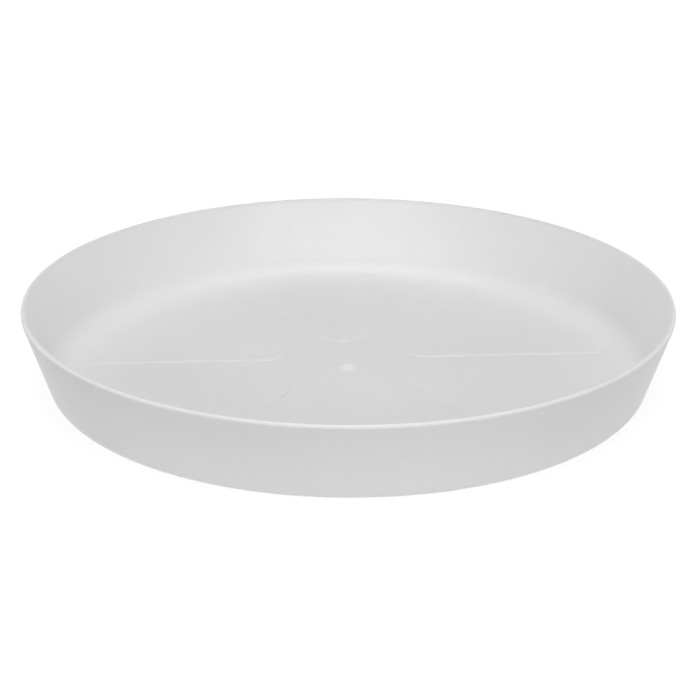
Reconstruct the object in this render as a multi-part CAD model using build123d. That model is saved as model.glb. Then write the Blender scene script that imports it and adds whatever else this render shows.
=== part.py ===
from build123d import *
import math
import os

# A round plant saucer: one moulding with a flat floor, a wall that leans outward and a level lip.
# The origin is the middle of the face that it stands on, and +Z points up. Lengths are in millimetres.

# Dish
rim_radius = 140.0
rim_height = 36.0
wall_thickness = 2.2
floor_thickness = 2.2
wall_lean_degrees = 18.4
lip_chamfer = 0.6
foot_fillet = 5.3
inner_fillet = 13.0

# Raised panels of the floor, with a star of water channels between them
panel_count = 6
panel_rise = 0.6
panel_radius = 113.4
panel_tip_radius = 10.9
panel_corner_radius = 4.0
panel_draft_degrees = 45.0
channel_width = 20.2
channel_turn_degrees = 3.9

# Gate in the middle of the floor, where the plastic entered the mould from below: a dome, hollow underneath
gate_radius = 4.4
gate_rise = 1.4
stub_radius = 1.0
stub_height = 0.6

# Round marks that the ejector pins leave on the panels
pin_mark_radius = 4.0
pin_mark_depth = 0.12
pin_circle_radius = 71.4

# How far a cutting or joining form runs past the face that it meets
overrun = 1.0

# A turned form stands on its own plane, centred on the upright axis
standing = (Align.CENTER, Align.CENTER, Align.MIN)


def dish():
    """The plain dish: a section of even thickness under a level lip, turned about the upright axis."""
    lean = math.radians(wall_lean_degrees)
    upward = Vector(math.sin(lean), math.cos(lean))
    lip_outside = Vector(rim_radius + lip_chamfer * upward.X, rim_height)
    lip_inside = lip_outside - Vector(wall_thickness / upward.Y, 0)
    foot_corner = lip_outside - upward * (rim_height / upward.Y)
    inner_corner = lip_inside - upward * ((rim_height - floor_thickness) / upward.Y)
    floor_middle = (0, floor_thickness)
    outline = Polyline((0, 0), foot_corner, lip_outside, lip_inside, inner_corner, floor_middle, close=True)
    section = make_face(outline)
    section = fillet(nearest_corner(section, foot_corner), foot_fillet)
    section = fillet(nearest_corner(section, inner_corner), inner_fillet)
    section = chamfer(nearest_corner(section, lip_outside), lip_chamfer)
    section = chamfer(nearest_corner(section, lip_inside), lip_chamfer)
    return revolve(Plane.XZ * section, Axis.Z)


def nearest_corner(sketch, place):
    """The corner of a flat sketch that lies nearest to a place."""
    return sketch.vertices().sort_by_distance(place)[0]


def panel_outline():
    """One floor panel from above, pointing along +X: a sector between two channels, with rounded corners."""
    half_sector = math.radians(180 / panel_count)
    tip = Vector(channel_width / 2 / math.sin(half_sector), 0)
    reach = 2 * panel_radius
    sides = [tip + Vector(math.cos(a), math.sin(a)) * reach for a in (half_sector, -half_sector)]
    wedge = make_face(Polyline(tip, *sides, close=True))
    sector = Circle(panel_radius) & wedge
    outer_corners = sector.vertices().sort_by(Axis.X)[-2:]
    sector = fillet(outer_corners, panel_corner_radius)
    return fillet(nearest_corner(sector, tip), panel_tip_radius)


def around(form):
    """A form that points along +X, repeated on the middle line of each panel."""
    step = 360 / panel_count
    turns = [channel_turn_degrees + (k + 1 / 2) * step for k in range(panel_count)]
    return [Rot(0, 0, turn) * form for turn in turns]


def gate_cap():
    """A dome on the plane z = 0, part of a ball."""
    crest = Vector(0, gate_rise)
    edge = Vector(gate_radius, 0)
    outline = [Line((0, 0), edge), TangentArc(crest, edge, tangent=(1, 0)), Line(crest, (0, 0))]
    return revolve(Plane.XZ * make_face(Curve() + outline), Axis.Z)


def gate_stub():
    """The stub that stays where the gate was broken off, in its hollow above the table."""
    stub = Cylinder(stub_radius, stub_height + floor_thickness / 2, align=standing)
    return Pos(0, 0, gate_rise - stub_height) * stub


def pin_mark():
    """The space of one shallow ejector mark in a panel's top, on the panel's middle line."""
    panel_top = floor_thickness + panel_rise
    disc = Cylinder(pin_mark_radius, pin_mark_depth + overrun, align=standing)
    return Pos(pin_circle_radius, 0, panel_top - pin_mark_depth) * disc


def saucer():
    """The whole moulding. Each form that rises in the floor is hollow below, so the thickness stays even."""
    panel = extrude(panel_outline(), panel_rise, taper=panel_draft_degrees)
    raise_to_floor = Pos(0, 0, floor_thickness)
    body = dish() + [raise_to_floor * p for p in around(panel)] + raise_to_floor * gate_cap()
    body = body - around(panel) - gate_cap()
    body = body + gate_stub()
    return body - around(pin_mark())


os.makedirs("parts", exist_ok=True)
export_step(saucer(), "parts/saucer.step")
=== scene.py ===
"""A moulded white plant saucer on a pale studio floor, seen as in a catalogue picture."""

import logging
import math
from dataclasses import dataclass, field
from enum import Enum

import bpy
import numpy as np
from mathutils import Matrix, Vector


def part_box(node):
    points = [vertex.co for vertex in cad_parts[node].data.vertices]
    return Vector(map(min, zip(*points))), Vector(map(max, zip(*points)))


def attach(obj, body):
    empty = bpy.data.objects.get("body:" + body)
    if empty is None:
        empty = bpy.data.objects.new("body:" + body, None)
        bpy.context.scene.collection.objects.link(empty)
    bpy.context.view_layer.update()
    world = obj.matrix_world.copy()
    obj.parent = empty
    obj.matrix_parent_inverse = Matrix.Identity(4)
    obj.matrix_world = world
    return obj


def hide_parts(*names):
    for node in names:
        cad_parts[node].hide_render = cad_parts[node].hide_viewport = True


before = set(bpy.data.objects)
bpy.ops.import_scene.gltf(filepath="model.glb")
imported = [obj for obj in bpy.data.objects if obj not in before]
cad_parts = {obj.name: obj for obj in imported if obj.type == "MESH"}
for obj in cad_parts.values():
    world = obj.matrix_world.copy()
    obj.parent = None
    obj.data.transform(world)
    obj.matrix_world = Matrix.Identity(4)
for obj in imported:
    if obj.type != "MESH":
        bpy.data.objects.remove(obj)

MM = 0.001
OPAQUE = 1.0
NODE = "saucer"
Colour = tuple[float, float, float]
log = logging.getLogger("saucer")


def smooth_step(values: np.ndarray) -> np.ndarray:
    """Rises smoothly from 0 to 1: u cubed times (10 - 15 u + 6 u squared), with u held between 0 and 1.

    Args:
        values: any array; 0 is the start of the rise and 1 its end.

    Returns:
        An array of the same shape, between 0 and 1.
    """
    u = np.clip(values, 0.0, 1.0)
    return u**3 * (10.0 - 15.0 * u + 6.0 * u**2)


def in_circle(distance: np.ndarray, radius: float, edge: float) -> np.ndarray:
    """1 inside a circle and 0 outside, with a smooth step that is half way up on the circle itself.

    Args:
        distance: distances from the circle's centre.
        radius: the circle's radius.
        edge: how broad the step is.

    Returns:
        An array of the same shape, between 0 and 1.
    """
    half_way = 0.5
    return smooth_step((radius - distance) / edge + half_way)


def arc(centre: tuple[float, float], radius: float, start: float, stop: float, steps: int) -> np.ndarray:
    """Points on a circle arc: centre plus radius times (cosine, sine) of an angle that runs evenly.

    Args:
        centre: the arc's centre, as (distance from the axis, height).
        radius: the arc's radius.
        start: the first angle, in degrees.
        stop: the last angle, in degrees.
        steps: how many equal steps the arc has.

    Returns:
        An array of steps + 1 rows, each (distance from the axis, height).
    """
    angle = np.radians(np.linspace(start, stop, steps + 1))
    return np.stack([centre[0] + radius * np.cos(angle), centre[1] + radius * np.sin(angle)], axis=1)


def straight(start: np.ndarray, stop: np.ndarray, steps: int) -> np.ndarray:
    """Points on a straight line in equal steps, without its two ends.

    Args:
        start: the line's first end, as (distance from the axis, height).
        stop: the line's last end.
        steps: how many equal steps the line has.

    Returns:
        An array of steps - 1 rows, each (distance from the axis, height).
    """
    return np.linspace(start, stop, steps + 1)[1:-1]


def between(stops: list[float], steps: tuple[int, ...]) -> np.ndarray:
    """Evenly spaced values from each stop to the next.

    Args:
        stops: the values at which the spacing changes, in order.
        steps: how many equal steps lead from each stop to the next.

    Returns:
        All the values but the first and the last.
    """
    runs = [
        np.linspace(low, high, count + 1)[1:]
        for low, high, count in zip(stops[:-1], stops[1:], steps)
    ]
    return np.concatenate(runs)[:-1]


class Side(Enum):
    """Which face of the moulding a ring of the surface lies on."""

    FLOOR = 0
    CORNER = 1
    WALL = 2
    UNDERSIDE = 3


@dataclass
class StarPanels:
    """The raised sector panels of the floor, and the star of water channels that they leave between them."""

    count: int = 6
    rise: float = 0.6 * MM
    outer_radius: float = 113.4 * MM
    fade: float = 8.0 * MM
    tip_radius: float = 10.9 * MM
    channel_width: float = 20.2 * MM
    turn: float = math.radians(3.9)

    # The sloped edge: how broad it is, how far it starts outside the outline, and its part of soft step.
    edge_run: float = 0.78 * MM
    edge_lead: float = 0.2 * MM
    edge_soft: float = 0.45

    @property
    def half_sector(self) -> float:
        """The angle from the middle of a channel to the middle of a panel."""
        return math.pi / self.count

    @property
    def tip_centre(self) -> float:
        """How far the centre of the rounded tip lies from the axis."""
        return (self.channel_width / 2 + self.tip_radius) / math.sin(self.half_sector)

    @property
    def tip(self) -> float:
        """How far the rounded tip itself lies from the axis."""
        return self.tip_centre - self.tip_radius

    @property
    def fade_start(self) -> float:
        """The distance from the axis where the panel begins to run out into the corner."""
        return self.outer_radius - self.fade / 2

    @property
    def fade_end(self) -> float:
        """The distance from the axis where nothing of the panel is left."""
        return self.outer_radius + self.fade / 2

    def edge_angle(self, radius: np.ndarray, widest: float) -> np.ndarray:
        """The angle from a channel's middle to the panel's straight edge.

        It is the arcsine of half the channel's width over the radius.

        Args:
            radius: distances from the axis.
            widest: the largest share of the half sector that the angle may take, near the axis.

        Returns:
            The angle at each radius, in radians.
        """
        half_width = self.channel_width / 2
        least = half_width / math.sin(self.half_sector * widest)
        return np.arcsin(half_width / np.maximum(radius, least))

    def inside(self, radius: np.ndarray, fold: np.ndarray) -> np.ndarray:
        """How far a point lies inside the panel's outline, negative in a channel.

        Near the tip it is the tip's radius less the distance to the tip's centre, and elsewhere the distance
        from the straight edge.

        Args:
            radius: distances from the axis.
            fold: angles from the nearest channel's middle.

        Returns:
            The distance at each point, in metres.
        """
        along, across = radius * np.cos(fold), radius * np.sin(fold)
        centre = self.tip_centre * np.array([math.cos(self.half_sector), math.sin(self.half_sector)])
        from_tip = self.tip_radius - np.hypot(along - centre[0], across - centre[1])
        from_edge = across - self.channel_width / 2
        return np.where(along < centre[0], from_tip, from_edge)

    def height(self, radius: np.ndarray, fold: np.ndarray) -> np.ndarray:
        """The panel's rise times its sloped edge and a smooth step over its run-out into the corner.

        The edge is a mix of a straight ramp and a smooth step, so it is an even slope with softly broken
        corners.

        Args:
            radius: distances from the axis.
            fold: angles from the nearest channel's middle.

        Returns:
            The rise of the floor at each point, in metres.
        """
        share = np.clip((self.inside(radius, fold) + self.edge_lead) / self.edge_run, 0.0, 1.0)
        edge = (1.0 - self.edge_soft) * share + self.edge_soft * smooth_step(share)
        return self.rise * edge * smooth_step((self.fade_end - radius) / self.fade)


@dataclass
class GateMark:
    """The low dome in the middle of the floor, hollow underneath, where the plastic entered from below."""

    radius: float = 4.6 * MM
    rise: float = 1.4 * MM
    foot_power: float = 1.2
    stub_radius: float = 1.0 * MM
    stub_height: float = 0.6 * MM
    stub_edge: float = 0.25 * MM

    def dome(self, radius: np.ndarray) -> np.ndarray:
        """The rise times (1 - the squared share of the dome's radius), to a power that softens the foot."""
        share = np.clip(radius / self.radius, 0.0, 1.0)
        return self.rise * (1.0 - share**2) ** self.foot_power

    def hollow(self, radius: np.ndarray) -> np.ndarray:
        """The dome's height less that of the broken-off stub, whose side is a smooth step."""
        return self.dome(radius) - self.stub_height * in_circle(radius, self.stub_radius, self.stub_edge)


@dataclass
class PinMarks:
    """The faint round marks of the ejector pins, one on the middle line of each panel."""

    circle_radius: float = 71.4 * MM
    radius: float = 4.0 * MM
    depth: float = 0.12 * MM
    edge: float = 0.7 * MM

    def depth_at(self, radius: np.ndarray, fold: np.ndarray, half_sector: float) -> np.ndarray:
        """The mark's depth times a smooth step of the distance inside its circle.

        Args:
            radius: distances from the axis.
            fold: angles from the nearest channel's middle.
            half_sector: the angle of the panel's middle line.

        Returns:
            How far the floor is sunk at each point.
        """
        along = radius * np.cos(fold - half_sector) - self.circle_radius
        across = radius * np.sin(fold - half_sector)
        return self.depth * in_circle(np.hypot(along, across), self.radius, self.edge)


@dataclass
class SaucerMoulding:
    """The whole saucer as one closed skin: floor, wall, lip and underside of one plastic moulding."""

    rim_radius: float
    rim_height: float
    wall: float = 2.2 * MM
    floor: float = 2.2 * MM
    lean: float = math.radians(18.4)
    foot_fillet: float = 5.3 * MM
    inner_fillet: float = 11.0 * MM
    lip_round: float = 1.2 * MM
    lip_growth: float = 0.5 * MM
    panels: StarPanels = field(default_factory=StarPanels)
    gate: GateMark = field(default_factory=GateMark)
    pins: PinMarks = field(default_factory=PinMarks)

    # The section's steps, in the order in which it runs from the floor over the lip to the foot.
    corner_steps: int = 24
    inner_wall_steps: int = 9
    inner_lip_steps: int = 6
    lip_top_steps: int = 3
    outer_lip_steps: int = 8
    outer_wall_steps: int = 11
    foot_steps: int = 10

    # The rings of the floor and of the underside, which crowd where the relief changes. The shares and
    # lengths say how far past the gate, its stub, a pin's mark and the panels' tips the close rings reach.
    floor_steps: tuple[int, ...] = (16, 6, 26, 8, 24, 10, 14)
    underside_steps: tuple[int, ...] = (2, 8, 10, 5, 20, 13, 14, 4)
    gate_share: float = 1.1
    stub_share: float = 0.7
    pin_share: float = 1.15
    before_tip: float = 2.0 * MM
    after_tip: float = 7.5 * MM

    # The lines from the axis outward, in half a sector: how many there are, the first step beside the
    # panel's edge, the edge's widest angle, and how the lines even out near the pins and towards the wall.
    channel_lines: int = 8
    panel_lines: int = 22
    edge_step: float = 0.24 * MM
    widest_share: float = 0.66
    pin_reach: float = 14.0 * MM
    pin_evenness: float = 0.55
    even_share: float = 0.88

    def lip_to_foot(self) -> tuple[np.ndarray, float, float]:
        """The section from the floor's outer edge over the lip to the underside's outer edge.

        Both faces of the wall lean outward, the inner one a little less, so the wall grows thicker towards
        the lip. Four arcs round the two corners of the dish and the two edges of the level lip.

        Returns:
            The points (distance from the axis, height), and the radius where the floor and the underside end.
        """
        lean_degrees = math.degrees(self.lean)
        rise = np.array([math.sin(self.lean), math.cos(self.lean)])
        out = np.array([math.cos(self.lean), -math.sin(self.lean)])
        edge = self.lip_round
        outer_edge = np.array([self.rim_radius - edge, self.rim_height - edge])
        wall_start = outer_edge + out * edge
        inner_line = wall_start - out * self.wall
        reach = (self.rim_height - edge - inner_line[1] + out[1] * -edge) / rise[1]
        inner_edge = inner_line + rise * reach + out * edge - np.array([self.lip_growth, 0.0])
        corner = math.tan((math.pi / 2 - self.lean) / 2)
        foot_corner = wall_start - rise * wall_start[1] / rise[1]
        floor_corner = inner_line - rise * (inner_line[1] - self.floor) / rise[1]
        foot_end = foot_corner[0] - self.foot_fillet * corner
        floor_end = floor_corner[0] - self.inner_fillet * corner
        fillet_centre = (floor_end, self.floor + self.inner_fillet)
        fillet = arc(fillet_centre, self.inner_fillet, -90, -lean_degrees, self.corner_steps)
        inner_lip = arc(tuple(inner_edge), edge, 180 - lean_degrees, 90, self.inner_lip_steps)
        outer_lip = arc(tuple(outer_edge), edge, 90, -lean_degrees, self.outer_lip_steps)
        foot = arc((foot_end, self.foot_fillet), self.foot_fillet, -lean_degrees, -90, self.foot_steps)
        inner_wall = straight(fillet[-1], inner_lip[0], self.inner_wall_steps)
        lip_top = straight(inner_lip[-1], outer_lip[0], self.lip_top_steps)
        outer_wall = straight(outer_lip[-1], foot[0], self.outer_wall_steps)
        section = np.concatenate([fillet, inner_wall, inner_lip, lip_top, outer_lip, outer_wall, foot])
        return section, float(floor_end), float(foot_end)

    def floor_radii(self, end: float) -> np.ndarray:
        """Distances of the floor's rings from the axis, close together where the relief changes.

        Args:
            end: the radius where the floor meets its corner.

        Returns:
            The radii, from just off the axis outward, without the end itself.
        """
        panel, pin = self.panels, self.pins
        stops = [
            0.0,
            self.gate.radius * self.gate_share,
            panel.tip - self.before_tip,
            panel.tip + self.after_tip,
            pin.circle_radius - pin.radius * self.pin_share,
            pin.circle_radius + pin.radius * self.pin_share,
            panel.fade_start,
            end,
        ]
        return between(stops, self.floor_steps)

    def underside_radii(self, end: float) -> np.ndarray:
        """Distances of the underside's rings from the axis, from its outer edge inward.

        Args:
            end: the radius where the underside meets the foot's rounding.

        Returns:
            The radii, from the outermost inward, without the end and without the axis.
        """
        panel, gate = self.panels, self.gate
        stops = [
            0.0,
            gate.stub_radius - gate.stub_edge * self.stub_share,
            gate.stub_radius + gate.stub_edge * self.stub_share,
            gate.radius * self.gate_share,
            panel.tip - self.before_tip,
            panel.tip + self.after_tip,
            panel.fade_start,
            panel.fade_end,
            end,
        ]
        return between(stops, self.underside_steps)[::-1]

    def rings(self) -> tuple[np.ndarray, np.ndarray, np.ndarray]:
        """The skin's rings, from the middle of the floor over the lip to the middle of the underside.

        Returns:
            Their distances from the axis, their heights without the relief, and their sides.
        """
        section, floor_end, foot_end = self.lip_to_foot()
        top, under = self.floor_radii(floor_end), self.underside_radii(foot_end)
        corner_rings = self.corner_steps + 1
        radius = np.concatenate([top, section[:, 0], under])
        height = np.concatenate([np.full(len(top), self.floor), section[:, 1], np.zeros(len(under))])
        side = np.concatenate([
            np.full(len(top), Side.FLOOR.value),
            np.full(corner_rings, Side.CORNER.value),
            np.full(len(section) - corner_rings, Side.WALL.value),
            np.full(len(under), Side.UNDERSIDE.value),
        ])
        return radius, height, side

    def fold_angles(self, radius: np.ndarray) -> np.ndarray:
        """Angles of the grid's lines from a channel's middle to the panel's middle line, ring by ring.

        On the floor one line runs along the panel's straight edge, and the lines next to it crowd together.
        Their angle from the edge is a u + (L - a) u cubed, with u the share of the lines and L the angle to
        fill. The first line lies about one edge step away, which sets a. Near the pins' marks the lines are
        spread more evenly, and towards the wall they are even.

        Args:
            radius: the rings' distances from the axis.

        Returns:
            An array with a row for each ring and a column for each line of a half sector, both ends included.
        """
        half = self.panels.half_sector
        edge = self.panels.edge_angle(radius, self.widest_share)[:, None]
        before = np.linspace(1.0, 0.0, self.channel_lines + 1)[None, :]
        after = np.linspace(0.0, 1.0, self.panel_lines + 1)[None, 1:]
        start = (self.edge_step / radius)[:, None]
        first_before = np.minimum(start * self.channel_lines, edge)
        first_after = np.minimum(start * self.panel_lines, half - edge)
        low = edge - (first_before * before + (edge - first_before) * before**3)
        crowd = first_after * after + (half - edge - first_after) * after**3
        even_after = (half - edge) * after
        near_pins = 1.0 - smooth_step(np.abs(radius - self.pins.circle_radius) / self.pin_reach)[:, None]
        crowd = crowd + near_pins * self.pin_evenness * (even_after - crowd)
        warped = np.concatenate([low, edge + crowd], axis=1)
        even = np.linspace(0.0, half, self.channel_lines + self.panel_lines + 1)[None, :]
        even_start, even_end = self.panels.fade_end, self.rim_radius * self.even_share
        spread = smooth_step((radius - even_start) / (even_end - even_start))[:, None]
        return warped + spread * (even - warped)

    def points(self) -> tuple[np.ndarray, int, int]:
        """The skin's points: the rings' lines, mirrored and repeated round the axis, with the relief added.

        Returns:
            The points, the number of rings and the number of points in a ring. The last two points are the
            poles.
        """
        radius, height, side = self.rings()
        half = self.fold_angles(radius)
        mirrored = 2.0 * self.panels.half_sector - half[:, -2:0:-1]
        sector = np.concatenate([half, mirrored], axis=1)
        fold = np.concatenate([half, half[:, -2:0:-1]], axis=1)
        turns = np.arange(self.panels.count) * 2.0 * self.panels.half_sector + self.panels.turn
        angle = (sector[:, None, :] + turns[None, :, None]).reshape(len(radius), -1)
        fold = np.tile(fold, (1, self.panels.count))
        r = np.broadcast_to(radius[:, None], angle.shape)
        relief = self.panels.height(r, fold)
        above = relief + self.gate.dome(r) - self.pins.depth_at(r, fold, self.panels.half_sector)
        below = relief + self.gate.hollow(r)
        on_floor = ((side == Side.FLOOR.value) | (side == Side.CORNER.value))[:, None]
        on_underside = (side == Side.UNDERSIDE.value)[:, None]
        z = height[:, None] + np.where(on_floor, above, 0.0) + np.where(on_underside, below, 0.0)
        grid = np.stack([r * np.cos(angle), r * np.sin(angle), z], axis=-1)
        middle = np.zeros(1)
        top_pole = [0.0, 0.0, self.floor + self.gate.dome(middle)[0]]
        low_pole = [0.0, 0.0, self.gate.hollow(middle)[0]]
        points = np.concatenate([grid.reshape(-1, 3), [top_pole, low_pole]])
        return points, angle.shape[0], angle.shape[1]

    @staticmethod
    def faces(rings: int, lines: int) -> list[tuple[int, ...]]:
        """Four-sided faces between neighbouring rings and a fan of triangles at each pole, all facing out.

        Args:
            rings: the number of rings.
            lines: the number of points in a ring.

        Returns:
            The corners of each face, as numbers of points.
        """
        here = np.arange(lines)
        after = (here + 1) % lines
        base = (np.arange(rings - 1) * lines)[:, None]
        quads = np.stack([base + here, base + lines + here, base + lines + after, base + after], axis=-1)
        top_pole, low_pole = rings * lines, rings * lines + 1
        last = (rings - 1) * lines
        fan_top = np.stack([np.full(lines, top_pole), here, after], axis=-1)
        fan_low = np.stack([np.full(lines, low_pole), last + after, last + here], axis=-1)
        fans = np.concatenate([fan_top, fan_low])
        return [*map(tuple, quads.reshape(-1, 4).tolist()), *map(tuple, fans.tolist())]

    def build(self) -> bpy.types.Object:
        """Makes the skin as one closed, smooth mesh with its place in its points.

        Returns:
            The new object.
        """
        points, rings, lines = self.points()
        mesh = bpy.data.meshes.new("saucer_moulding")
        mesh.from_pydata(points.tolist(), [], self.faces(rings, lines))
        mesh.shade_smooth()
        piece = bpy.data.objects.new("saucer_moulding", mesh)
        bpy.context.scene.collection.objects.link(piece)
        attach(piece, "root")
        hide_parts(NODE)
        log.info("saucer_moulding: %d points, %d faces", len(mesh.vertices), len(mesh.polygons))
        return piece

    def dress(self, piece: bpy.types.Object) -> None:
        """Gives the skin its white plastic, whose lip follows the rim's size."""
        finish = WhitePolypropylene(self.rim_radius, self.rim_height)
        piece.data.materials.append(finish.material())


@dataclass(frozen=True)
class Mottle:
    """A noise of one scale, and the band of its values that shows."""

    scale: float
    detail: float
    low: float
    high: float


class Shader:
    """The nodes of a material or of the sky, with short calls to add and join them."""

    def __init__(self, owner: bpy.types.Material | bpy.types.World) -> None:
        """Starts on an empty node tree.

        Args:
            owner: the material or sky that the nodes belong to.
        """
        owner.use_nodes = True
        self.owner = owner
        self.tree = owner.node_tree
        self.tree.nodes.clear()

    def add(self, kind: str, **values: object) -> bpy.types.Node:
        """Adds a node and sets its properties.

        Args:
            kind: the node's type, without the words ShaderNode.
            values: property names and values.

        Returns:
            The new node.
        """
        node = self.tree.nodes.new("ShaderNode" + kind)
        for name, value in values.items():
            setattr(node, name, value)
        return node

    def join(self, source: bpy.types.NodeSocket, target: bpy.types.NodeSocket) -> None:
        """Links an output to an input."""
        self.tree.links.new(source, target)

    def feed(self, value: bpy.types.NodeSocket | Colour | float, target: bpy.types.NodeSocket) -> None:
        """Gives an input a colour, a number or another node's output.

        Args:
            value: the colour, the number or the output.
            target: the input.
        """
        if isinstance(value, tuple):
            target.default_value = (*value, OPAQUE)
        elif isinstance(value, float):
            target.default_value = value
        else:
            self.join(value, target)

    def noise(self, place: bpy.types.NodeSocket, scale: float, detail: float) -> bpy.types.NodeSocket:
        """A noise that is read at a place.

        Args:
            place: the place.
            scale: how many of its features fit in one unit of the place, about.
            detail: how many finer layers it has.

        Returns:
            The noise, between 0 and 1.
        """
        node = self.add("TexNoise")
        node.inputs["Scale"].default_value = scale
        node.inputs["Detail"].default_value = detail
        self.join(place, node.inputs["Vector"])
        return node.outputs["Fac"]

    def remap(
        self,
        value: bpy.types.NodeSocket,
        low: float,
        high: float,
        to_low: float,
        to_high: float,
    ) -> bpy.types.NodeSocket:
        """A value moved from one range to another, and held there.

        Args:
            value: the value.
            low: the start of its range.
            high: the end of its range.
            to_low: the result at the start.
            to_high: the result at the end.

        Returns:
            The moved value.
        """
        node = self.add("MapRange")
        for name, number in zip(("From Min", "From Max", "To Min", "To Max"), (low, high, to_low, to_high)):
            node.inputs[name].default_value = number
        self.join(value, node.inputs["Value"])
        return node.outputs["Result"]

    def mottle(
        self,
        place: bpy.types.NodeSocket,
        kind: Mottle,
        to_low: float,
        to_high: float,
    ) -> bpy.types.NodeSocket:
        """A noise that is read at a place, with its band moved to the range from to_low to to_high."""
        return self.remap(self.noise(place, kind.scale, kind.detail), kind.low, kind.high, to_low, to_high)

    def blend(
        self,
        share: bpy.types.NodeSocket,
        low: bpy.types.NodeSocket | Colour,
        high: bpy.types.NodeSocket | Colour,
    ) -> bpy.types.NodeSocket:
        """A mix of two colours, each a plain colour or another node's output.

        Args:
            share: the part of the second colour, from 0 to 1.
            low: the first colour.
            high: the second colour.

        Returns:
            The mixed colour.
        """
        node = self.add("MixRGB", use_clamp=True)
        self.join(share, node.inputs["Fac"])
        self.feed(low, node.inputs["Color1"])
        self.feed(high, node.inputs["Color2"])
        return node.outputs["Color"]


@dataclass(frozen=True)
class WhitePolypropylene:
    """Milky white plastic with a satin skin, as it comes out of a polished mould."""

    rim_radius: float
    rim_height: float

    # The skin's tone, its clouds, and the streaks along the plastic's flow.
    pale: Colour = (0.865, 0.865, 0.865)
    deep: Colour = (0.835, 0.835, 0.837)
    clouds: Mottle = Mottle(scale=9.0, detail=3.0, low=0.35, high=0.65)
    streaks: Mottle = Mottle(scale=1.0, detail=2.0, low=0.3, high=0.7)
    streak_depth: float = 0.12
    streak_spread: float = 14.0
    streak_drift: float = 20.0

    # The lip's painted tones: a painted shade on the top, which comes in between two depths below the rim,
    # and a painted glow on the outer edge, which comes in between two distances inside it.
    lip_top: Colour = (0.79, 0.79, 0.79)
    painted_lip_start: float = 1.4 * MM
    painted_lip_full: float = 0.3 * MM
    lip_painted_glow: Colour = (0.95, 0.95, 0.95)
    painted_glow_start: float = 1.4 * MM
    painted_glow_full: float = 0.8 * MM

    # The paler spot at the gate, from its core to its edge.
    gate_pale_tone: Colour = (0.96, 0.96, 0.96)
    pale_core: float = 1.2 * MM
    pale_edge: float = 5.4 * MM

    # The roughness of the dull and of the glossy parts, and how much rubbing adds.
    dull: float = 0.42
    glossy: float = 0.36
    gloss_drift: Mottle = Mottle(scale=30.0, detail=4.0, low=0.3, high=0.7)
    rubbing: Mottle = Mottle(scale=260.0, detail=5.0, low=0.58, high=0.72)
    rubbed: float = 0.05

    # The gloss of the skin, the scattering below it and the fine grain on it.
    refraction: float = 1.49
    shine: float = 0.5
    scatter: float = 0.35
    scatter_tint: Colour = (1.0, 1.0, 1.0)
    scatter_reach: float = 1.6 * MM
    grain: float = 1400.0
    grain_detail: float = 2.0
    grain_strength: float = 0.04
    grain_depth: float = 0.05 * MM

    @staticmethod
    def off_axis(s: Shader, place: bpy.types.NodeSocket) -> bpy.types.NodeSocket:
        """The place without its height, so its length is the distance from the saucer's axis.

        Args:
            s: the material's nodes.
            place: the place on the skin.

        Returns:
            The place, moved down to the height 0.
        """
        across = s.add("VectorMath", operation="MULTIPLY")
        s.join(place, across.inputs[0])
        across.inputs[1].default_value = (1.0, 1.0, 0.0)
        return across.outputs[0]

    def flow(self, s: Shader, place: bpy.types.NodeSocket) -> bpy.types.NodeSocket:
        """Faint streaks along the way the plastic flowed: a noise of the direction from the gate.

        The noise is read at a multiple of the direction across the floor, so it changes slowly along a ray,
        and the circle closes without a seam. A multiple of the place is added, so that the streaks drift.

        Args:
            s: the material's nodes.
            place: the place on the skin.

        Returns:
            What the streaks add to the share of the pale tone, which may be negative.
        """
        direction = s.add("VectorMath", operation="NORMALIZE")
        s.join(self.off_axis(s, place), direction.inputs[0])
        wide = s.add("VectorMath", operation="SCALE")
        s.join(direction.outputs[0], wide.inputs[0])
        wide.inputs["Scale"].default_value = self.streak_spread
        drift = s.add("VectorMath", operation="SCALE")
        s.join(place, drift.inputs[0])
        drift.inputs["Scale"].default_value = self.streak_drift
        moved = s.add("VectorMath", operation="ADD")
        s.join(wide.outputs[0], moved.inputs[0])
        s.join(drift.outputs[0], moved.inputs[1])
        return s.mottle(moved.outputs[0], self.streaks, -self.streak_depth, self.streak_depth)

    def tone(self, s: Shader, place: bpy.types.NodeSocket) -> bpy.types.NodeSocket:
        """The skin's colour: slow clouds and faint flow streaks, a lip of its own tone and a paler gate.

        The lip's top is painted a little darker, as painted shade, and its outer edge is painted paler, as a
        painted glow of the light that comes through it. The gate is paler, fully at its core and less out to
        its edge.

        Args:
            s: the material's nodes.
            place: the place on the skin.

        Returns:
            The colour.
        """
        share = s.add("Math", operation="ADD", use_clamp=True)
        s.join(s.mottle(place, self.clouds, 0.0, 1.0), share.inputs[0])
        s.join(self.flow(s, place), share.inputs[1])
        height = s.add("SeparateXYZ")
        s.join(place, height.inputs[0])
        distance = s.add("VectorMath", operation="LENGTH")
        s.join(self.off_axis(s, place), distance.inputs[0])
        # The lip's painted tones: painted shade darkens its top and a painted glow makes its outer edge
        # paler.
        painted_lip_start, painted_lip_full = self.rim_height - self.painted_lip_start, self.rim_height - self.painted_lip_full
        painted_glow_start, painted_glow_full = self.rim_radius - self.painted_glow_start, self.rim_radius - self.painted_glow_full
        painted_lip_share = s.remap(height.outputs["Z"], painted_lip_start, painted_lip_full, 0.0, 1.0)
        painted_glow_share = s.remap(distance.outputs["Value"], painted_glow_start, painted_glow_full, 0.0, 1.0)
        # Paler at the gate: fully at its core, and fading out to its edge.
        paler_share = s.remap(distance.outputs["Value"], self.pale_core, self.pale_edge, 1.0, 0.0)
        plain = s.blend(share.outputs[0], self.deep, self.pale)
        # Painted shade on the lip's top, blended into a painted glow on its outer edge.
        lip = s.blend(painted_glow_share, self.lip_top, self.lip_painted_glow)
        return s.blend(paler_share, s.blend(painted_lip_share, plain, lip), self.gate_pale_tone)

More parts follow.
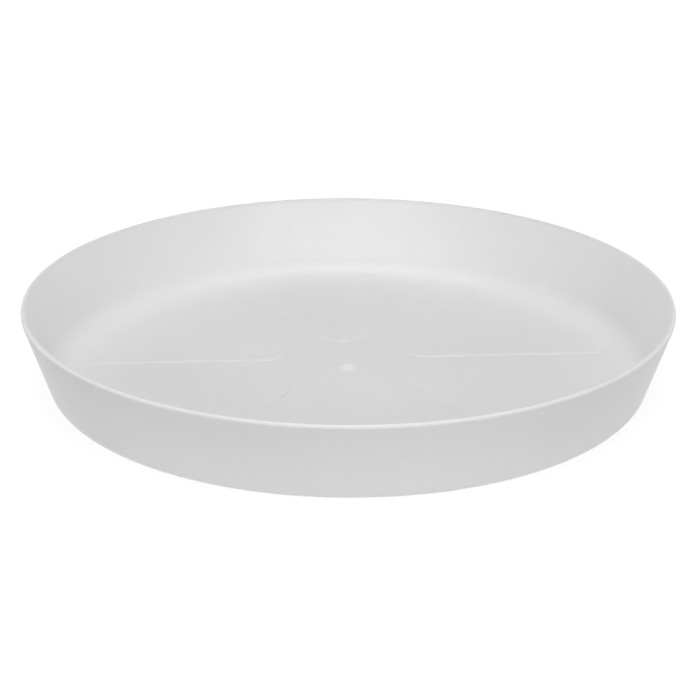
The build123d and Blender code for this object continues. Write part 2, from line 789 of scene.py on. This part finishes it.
    def roughness(self, s: Shader, place: bpy.types.NodeSocket) -> bpy.types.NodeSocket:
        """A roughness that drifts slowly, with fine rubbed patches a little duller than the rest.

        Args:
            s: the material's nodes.
            place: the place on the skin.

        Returns:
            The roughness.
        """
        total = s.add("Math", operation="ADD")
        s.join(s.mottle(place, self.gloss_drift, self.glossy, self.dull), total.inputs[0])
        s.join(s.mottle(place, self.rubbing, 0.0, self.rubbed), total.inputs[1])
        return total.outputs[0]

    def material(self) -> bpy.types.Material:
        """Milky scattering below a satin skin whose tone and gloss drift slowly.

        Returns:
            The finished material.
        """
        s = Shader(bpy.data.materials.new("white_polypropylene"))
        place = s.add("TexCoord").outputs["Object"]
        skin = s.add("BsdfPrincipled")
        s.join(self.tone(s, place), skin.inputs["Base Color"])
        s.join(self.roughness(s, place), skin.inputs["Roughness"])
        skin.inputs["IOR"].default_value = self.refraction
        skin.inputs["Specular IOR Level"].default_value = self.shine
        skin.inputs["Subsurface Weight"].default_value = self.scatter
        skin.inputs["Subsurface Radius"].default_value = self.scatter_tint
        skin.inputs["Subsurface Scale"].default_value = self.scatter_reach
        bump = s.add("Bump")
        bump.inputs["Strength"].default_value = self.grain_strength
        bump.inputs["Distance"].default_value = self.grain_depth
        s.join(s.noise(place, self.grain, self.grain_detail), bump.inputs["Height"])
        s.join(bump.outputs["Normal"], skin.inputs["Normal"])
        out = s.add("OutputMaterial")
        s.join(skin.outputs["BSDF"], out.inputs["Surface"])
        return s.owner


class LampKind(Enum):
    """The studio's soft boxes."""

    FRONT = "front_box"
    LOW = "low_front_box"
    TOP = "top_box"
    REAR_TOP = "rear_top_box"
    LEFT = "left_box"
    RIGHT = "right_box"
    BACK_LEFT = "back_left_box"
    BACK_RIGHT = "back_right_box"


@dataclass(frozen=True)
class SoftBox:
    """An oblong soft box that faces the saucer, and that shows in its gloss where mirrored is on."""

    kind: LampKind
    azimuth: float
    elevation: float
    distance: float
    width: float
    depth: float
    power: float
    mirrored: bool = True

    def hang(self) -> None:
        """Makes the lamp at its azimuth and elevation in degrees, turned towards the saucer's middle."""
        a, e = math.radians(self.azimuth), math.radians(self.elevation)
        place = self.distance * Vector((math.sin(a) * math.cos(e), -math.cos(a) * math.cos(e), math.sin(e)))
        data = bpy.data.lights.new(self.kind.value, "AREA")
        data.shape = "RECTANGLE"
        data.size, data.size_y = self.width, self.depth
        data.energy = self.power
        lamp = bpy.data.objects.new(self.kind.value, data)
        lamp.location = place
        lamp.visible_glossy = self.mirrored
        lamp.rotation_euler = (-place).to_track_quat("-Z", "Y").to_euler()
        bpy.context.scene.collection.objects.link(lamp)


@dataclass
class Studio:
    """A pale floor without end, an even sky and a few soft boxes."""

    floor_half: float = 12.0
    floor_gap: float = 0.02 * MM
    ambient: float = 0.17

    # The paper's own tone, and the glow that makes it white to the camera.
    paper: Colour = (0.35, 0.35, 0.35)
    backdrop: float = 0.785

    # The floor's unseen glow on the saucer: full up to the inner distance, and gone past the outer one.
    pool: float = 0.36
    pool_inner: float = 0.13
    pool_outer: float = 0.28

    # Each box has its azimuth and elevation in degrees, distance, width and depth in metres, and watts.
    boxes: tuple[SoftBox, ...] = (
        SoftBox(LampKind.TOP, 0.0, 88.0, 2.0, 1.6, 1.6, 11.4),
        SoftBox(LampKind.REAR_TOP, 180.0, 75.0, 2.0, 1.2, 1.2, 6.0),
        SoftBox(LampKind.FRONT, 0.0, 60.0, 2.2, 3.0, 1.6, 6.7),
        SoftBox(LampKind.LOW, 2.0, 15.0, 2.4, 3.4, 0.7, 25.4),
        SoftBox(LampKind.LEFT, -70.0, 14.0, 2.3, 2.2, 0.8, 2.4, mirrored=False),
        SoftBox(LampKind.RIGHT, 70.0, 14.0, 2.3, 2.2, 0.8, 2.2, mirrored=False),
        SoftBox(LampKind.BACK_LEFT, -140.0, 14.0, 2.3, 2.0, 0.9, 12.2, mirrored=False),
        SoftBox(LampKind.BACK_RIGHT, 140.0, 14.0, 2.3, 2.0, 0.9, 10.6, mirrored=False),
    )

    def seen(self, s: Shader) -> bpy.types.NodeSocket:
        """1 for rays from the camera, a mirror or a glass, and 0 for rays that carry light to the object.

        Args:
            s: the floor's or the sky's nodes.

        Returns:
            The share, 0 or 1.
        """
        path = s.add("LightPath")
        total = s.add("Math", operation="ADD", use_clamp=True)
        s.join(path.outputs["Is Camera Ray"], total.inputs[0])
        s.join(path.outputs["Is Glossy Ray"], total.inputs[1])
        both = s.add("Math", operation="ADD", use_clamp=True)
        s.join(total.outputs[0], both.inputs[0])
        s.join(path.outputs["Is Transmission Ray"], both.inputs[1])
        return both.outputs[0]

    def glowing_paper(self, s: Shader, glow: bpy.types.NodeSocket | float) -> bpy.types.NodeSocket:
        """Matt paper that keeps the shadows, with a glow added to it.

        Args:
            s: the floor's nodes.
            glow: the strength of the glow.

        Returns:
            The surface.
        """
        paper = s.add("BsdfDiffuse")
        s.feed(self.paper, paper.inputs["Color"])
        light = s.add("Emission")
        s.feed(glow, light.inputs["Strength"])
        both = s.add("AddShader")
        s.join(paper.outputs[0], both.inputs[0])
        s.join(light.outputs[0], both.inputs[1])
        return both.outputs[0]

    def floor(self) -> None:
        """A flat pale floor that looks white to the camera and keeps the saucer's shadow."""
        h, z = self.floor_half, -self.floor_gap
        mesh = bpy.data.meshes.new("studio_floor")
        mesh.from_pydata([(-h, -h, z), (h, -h, z), (h, h, z), (-h, h, z)], [], [(0, 1, 2, 3)])
        ground = bpy.data.objects.new("studio_floor", mesh)
        bpy.context.scene.collection.objects.link(ground)
        s = Shader(bpy.data.materials.new("pale_floor"))
        reach = s.add("VectorMath", operation="LENGTH")
        s.join(s.add("TexCoord").outputs["Object"], reach.inputs[0])
        pool = s.remap(reach.outputs["Value"], self.pool_inner, self.pool_outer, self.pool, 0.0)
        mix = s.add("MixShader")
        s.join(self.seen(s), mix.inputs[0])
        s.join(self.glowing_paper(s, pool), mix.inputs[1])
        s.join(self.glowing_paper(s, self.backdrop), mix.inputs[2])
        out = s.add("OutputMaterial")
        s.join(mix.outputs[0], out.inputs["Surface"])
        s.owner.cycles.emission_sampling = "NONE"
        mesh.materials.append(s.owner)

    def sky(self) -> None:
        """An even sky: white to the camera, and of the ambient strength to everything that it lights."""
        world = bpy.data.worlds.new("even_sky")
        bpy.context.scene.world = world
        s = Shader(world)
        light = s.add("Background")
        s.join(s.remap(self.seen(s), 0.0, 1.0, self.ambient, 1.0), light.inputs["Strength"])
        out = s.add("OutputWorld")
        s.join(light.outputs[0], out.inputs["Surface"])

    def build(self) -> None:
        """Sets up the floor, the sky and the lamps."""
        self.floor()
        self.sky()
        for box in self.boxes:
            box.hang()
        log.info("studio: floor, sky and %d soft boxes", len(self.boxes))


@dataclass(frozen=True)
class PictureCamera:
    """The catalogue picture's camera: angles in degrees, and places in shares of the saucer's radius."""

    pitch: float = 21.63
    roll: float = 0.218
    distance_share: float = 6.41
    aim_height_share: float = 0.0817
    focal_pixels: float = 2059.2
    aside_pixels: float = 0.2
    picture_pixels: float = 696.0
    sensor_width: float = 36.0
    clip_near: float = 0.01
    clip_far: float = 100.0

    def place(self, radius: float) -> None:
        """Makes the camera, which looks along +Y and down at the saucer, and makes it the scene's own.

        Args:
            radius: the saucer's outer radius, in metres.
        """
        data = bpy.data.cameras.new("picture_camera")
        data.sensor_width = self.sensor_width
        data.lens = self.sensor_width * self.focal_pixels / self.picture_pixels
        data.shift_x = -self.aside_pixels / self.picture_pixels
        data.dof.use_dof = False
        data.clip_start, data.clip_end = self.clip_near, self.clip_far
        pitch = math.radians(self.pitch)
        back = Vector((0.0, -math.cos(pitch), math.sin(pitch)))
        aim = Vector((0.0, 0.0, self.aim_height_share * radius))
        roll = Matrix.Rotation(math.radians(self.roll), 4, "Z")
        turned = (-back).to_track_quat("-Z", "Y").to_matrix().to_4x4() @ roll
        camera = bpy.data.objects.new("picture_camera", data)
        camera.matrix_world = Matrix.Translation(aim + back * self.distance_share * radius) @ turned
        bpy.context.scene.collection.objects.link(camera)
        bpy.context.scene.camera = camera
        log.info("picture_camera: lens %.1f mm", data.lens)


def main() -> None:
    """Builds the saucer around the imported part, then its studio and camera."""
    logging.basicConfig(level=logging.INFO, format="%(name)s: %(message)s")
    bpy.context.scene.view_settings.view_transform = "Standard"
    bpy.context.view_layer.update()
    low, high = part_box(NODE)
    radius = min(high.x - low.x, high.y - low.y) / 2
    saucer = SaucerMoulding(rim_radius=radius, rim_height=high.z)
    saucer.dress(saucer.build())
    Studio().build()
    PictureCamera().place(radius)


if __name__ == "__main__":
    main()
